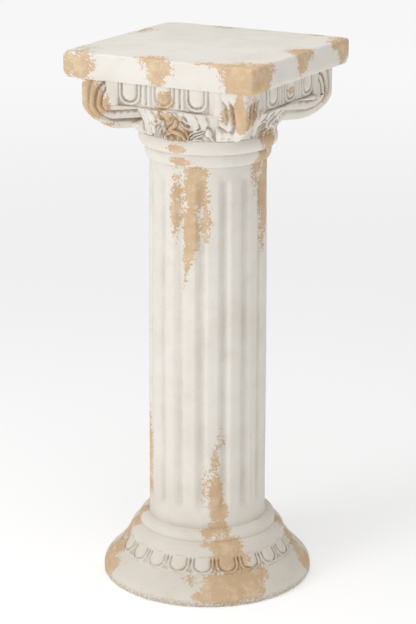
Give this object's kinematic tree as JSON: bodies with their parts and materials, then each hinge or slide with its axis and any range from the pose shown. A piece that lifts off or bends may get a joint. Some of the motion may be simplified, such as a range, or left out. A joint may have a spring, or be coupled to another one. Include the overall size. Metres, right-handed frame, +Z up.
{
  "type": "garden pedestal",
  "caption": "Cast pedestal shaped as a short fluted column, with a leafy scrolled capital, a square top slab and a domed round foot.",
  "frame": {"origin": "middle of the underside, on the ground", "axes": "+Z up along the column; the slab's sides face +X, -X, +Y and -Y; the picture looks at the -Y side and, more obliquely, the +X side"},
  "size_m": [0.313, 0.313, 0.8],
  "materials": {
    "whitewash": "matt, worn white paint over a tan cast body"
  },
  "bodies": {
    "root": {"pedestal": "whitewash"}
  },
  "joints": []
}
